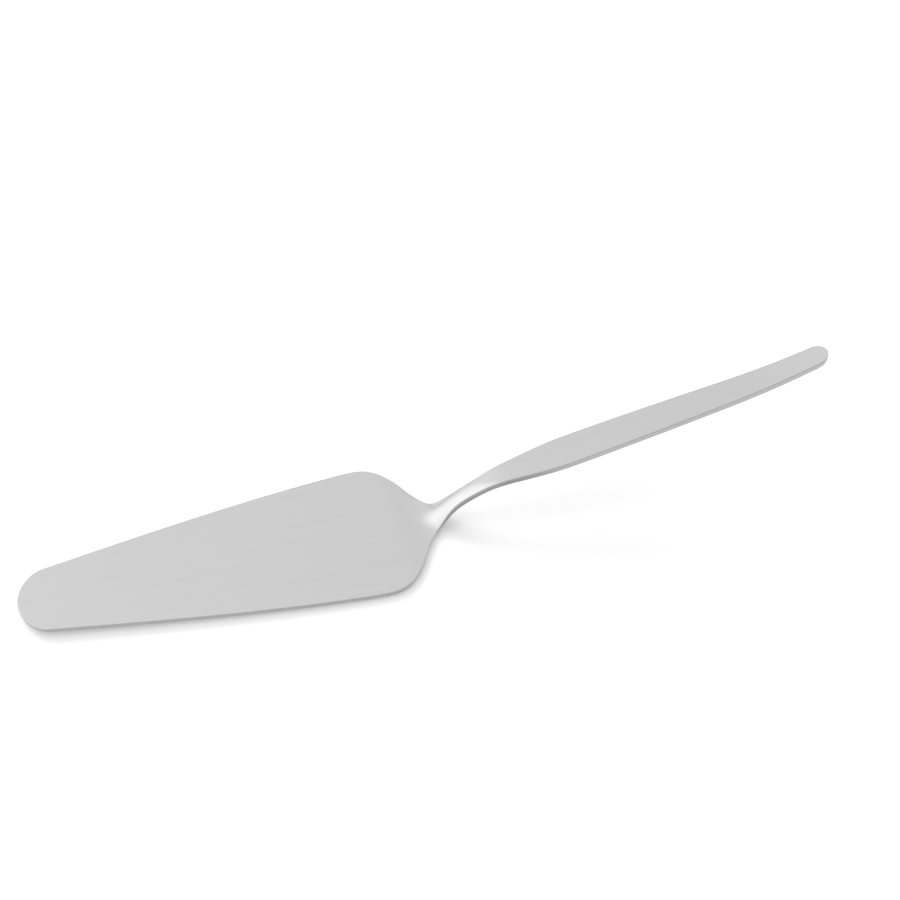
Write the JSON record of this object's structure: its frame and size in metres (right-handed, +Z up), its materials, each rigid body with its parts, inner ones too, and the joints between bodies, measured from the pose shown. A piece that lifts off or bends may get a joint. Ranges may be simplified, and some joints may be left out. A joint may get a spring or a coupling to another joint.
{
  "type": "cake server",
  "caption": "Flat cake server with a broad tapering blade, rounded tip and heel, and a narrow crowned neck that bends up into a slim flat handle.",
  "frame": {"origin": "under the middle of the whole length, on the plane of the blade's underside that the server rests on", "axes": "+X along the middle line from the blade's tip to the handle's end, +Y across the blade, +Z up from the resting face"},
  "size_m": [0.27, 0.0546, 0.0428],
  "materials": {
    "blade_steel": "fine satin brushing along the blade",
    "weld_steel": "ground flush and polished",
    "handle_steel": "polished neck, fine satin brushing along the flat grip"
  },
  "bodies": {
    "root": {"blade": "blade_steel", "weld_seam": "weld_steel", "handle": "handle_steel"}
  },
  "joints": []
}
